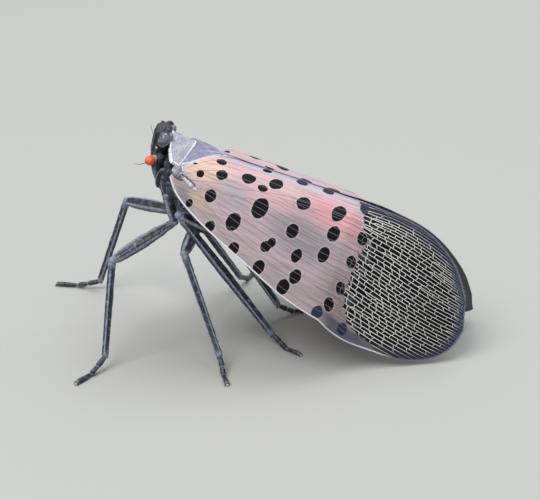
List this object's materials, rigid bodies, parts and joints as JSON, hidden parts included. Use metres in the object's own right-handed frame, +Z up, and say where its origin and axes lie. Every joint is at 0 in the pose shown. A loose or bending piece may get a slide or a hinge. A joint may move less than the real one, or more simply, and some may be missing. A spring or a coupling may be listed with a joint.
{
  "type": "spotted lanternfly",
  "caption": "Still life-size spotted lanternfly, standing on its feet with spotted, net-veined wings folded like a roof, for display or study.",
  "frame": {"origin": "middle of the underside of the whole insect's box, on the floor under its six feet", "axes": "+Z up from the floor, -X towards the head, -Y towards the insect's left side"},
  "size_m": [0.0336, 0.0188, 0.0169],
  "materials": {
    "head": "wrinkled satin cuticle",
    "eye": "glossy",
    "antenna": "granular satin",
    "thorax": "satin with a pale waxy bloom",
    "abdomen": "matt, yellow with black bands",
    "plate": "matt, finely wrinkled",
    "forewing": "leathery membrane, veined, spotted and netted",
    "hindwing": "thin membrane, red, black and white",
    "leg": "satin cuticle with a pale bloom"
  },
  "bodies": {
    "root": {"head": "head", "clypeus": "head", "beak": "head", "eye_left": "eye", "eye_right": "eye", "antenna_left": "antenna", "antenna_right": "antenna", "thorax": "thorax", "abdomen": "abdomen", "abdomen_tip": "abdomen", "pronotum": "plate", "mesonotum": "plate", "tegula_left": "plate", "tegula_right": "plate", "forewing_left": "forewing", "forewing_right": "forewing", "hindwing_left": "hindwing", "hindwing_right": "hindwing", "coxa_fore_left": "leg", "coxa_fore_right": "leg", "coxa_mid_left": "leg", "coxa_mid_right": "leg", "coxa_hind_left": "leg", "coxa_hind_right": "leg", "femur_fore_left": "leg", "femur_fore_right": "leg", "femur_mid_left": "leg", "femur_mid_right": "leg", "femur_hind_left": "leg", "femur_hind_right": "leg", "tibia_fore_left": "leg", "tibia_fore_right": "leg", "tibia_mid_left": "leg", "tibia_mid_right": "leg", "tibia_hind_left": "leg", "tibia_hind_right": "leg", "tarsus_fore_left": "leg", "tarsus_fore_right": "leg", "tarsus_mid_left": "leg", "tarsus_mid_right": "leg", "tarsus_hind_left": "leg", "tarsus_hind_right": "leg"}
  },
  "joints": []
}
